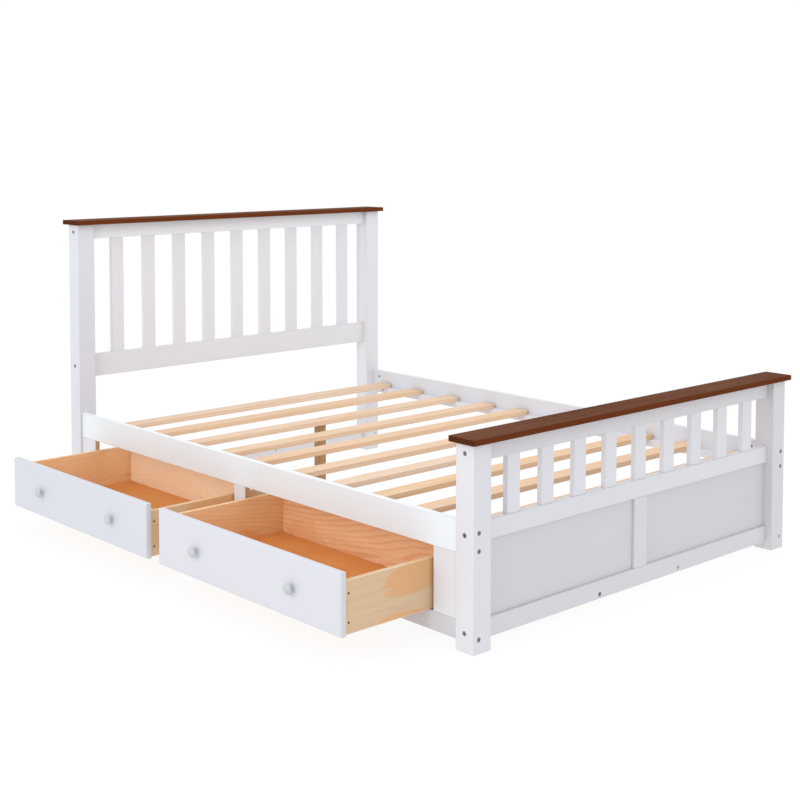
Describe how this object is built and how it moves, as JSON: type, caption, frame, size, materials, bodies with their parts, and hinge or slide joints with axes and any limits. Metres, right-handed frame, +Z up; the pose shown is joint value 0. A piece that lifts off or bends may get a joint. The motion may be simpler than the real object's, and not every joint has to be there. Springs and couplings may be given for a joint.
{
  "type": "platform bed with storage drawers",
  "caption": "Full-size slatted bed with slatted head and foot frames, overhanging caps, and two drawers that slide out from under one side rail.",
  "frame": {"origin": "on the floor, at the middle of the outline with the drawers open", "axes": "+X across the bed, from the drawer side to the plain side; +Y from the foot to the head; +Z up"},
  "size_m": [1.8014, 2.074, 1.04],
  "materials": {
    "white_paint": "smooth cool-white satin paint",
    "walnut": "walnut stain under satin varnish",
    "pine": "planed bare pine",
    "rough_pine": "bare pine, end and edge grain, unfinished",
    "box_ply": "clear-coated plywood with darker heartwood patches",
    "bottom_ply": "thin orange-brown plywood",
    "zinc": "grey zinc plate",
    "dark_screw": "dark bronze-coloured coating"
  },
  "bodies": {
    "frame": {"head_post_left": "white_paint", "head_post_right": "white_paint", "foot_post_left": "white_paint", "foot_post_right": "white_paint", "head_cap": "walnut", "foot_cap": "walnut", "head_top_rail": "white_paint", "head_middle_rail": "white_paint", "head_bottom_rail": "white_paint", "head_uprights": "white_paint", "foot_top_rail": "white_paint", "foot_middle_rail": "white_paint", "foot_bottom_rail": "white_paint", "foot_uprights": "white_paint", "foot_stile": "white_paint", "foot_panel_left": "white_paint", "foot_panel_right": "white_paint", "drawer_side_rail": "white_paint", "drawer_sill": "white_paint", "stile_head": "white_paint", "stile_centre": "white_paint", "stile_foot": "white_paint", "wall_side_rail": "white_paint", "slat_ledge_left": "white_paint", "slat_ledge_right": "white_paint", "bed_slat_1": "pine", "bed_slat_2": "pine", "bed_slat_3": "pine", "bed_slat_4": "pine", "bed_slat_5": "pine", "bed_slat_6": "pine", "bed_slat_7": "pine", "bed_slat_8": "pine", "bed_slat_9": "pine", "bed_slat_10": "pine", "centre_leg_head": "rough_pine", "centre_leg_foot": "rough_pine", "inner_bearer": "pine", "drawer_runners": "pine", "joint_bolts": "zinc", "barrel_nuts": "zinc", "stile_dowels": "pine", "wood_screws": "dark_screw"},
    "drawer_head_end": {"drawer_1_front": "white_paint", "drawer_1_box_front": "box_ply", "drawer_1_left_side": "box_ply", "drawer_1_right_side": "box_ply", "drawer_1_back": "box_ply", "drawer_1_bottom": "bottom_ply", "drawer_1_knobs": "white_paint", "drawer_1_screws": "dark_screw"},
    "drawer_foot_end": {"drawer_2_front": "white_paint", "drawer_2_box_front": "box_ply", "drawer_2_left_side": "box_ply", "drawer_2_right_side": "box_ply", "drawer_2_back": "box_ply", "drawer_2_bottom": "bottom_ply", "drawer_2_knobs": "white_paint", "drawer_2_screws": "dark_screw"}
  },
  "joints": [
    {"name": "drawer_head_slide", "type": "slide", "parent": "frame", "child": "drawer_head_end", "axis": [1, 0, 0], "range_m": [0, 0.321]},
    {"name": "drawer_foot_slide", "type": "slide", "parent": "frame", "child": "drawer_foot_end", "axis": [1, 0, 0], "range_m": [0, 0.321]}
  ]
}
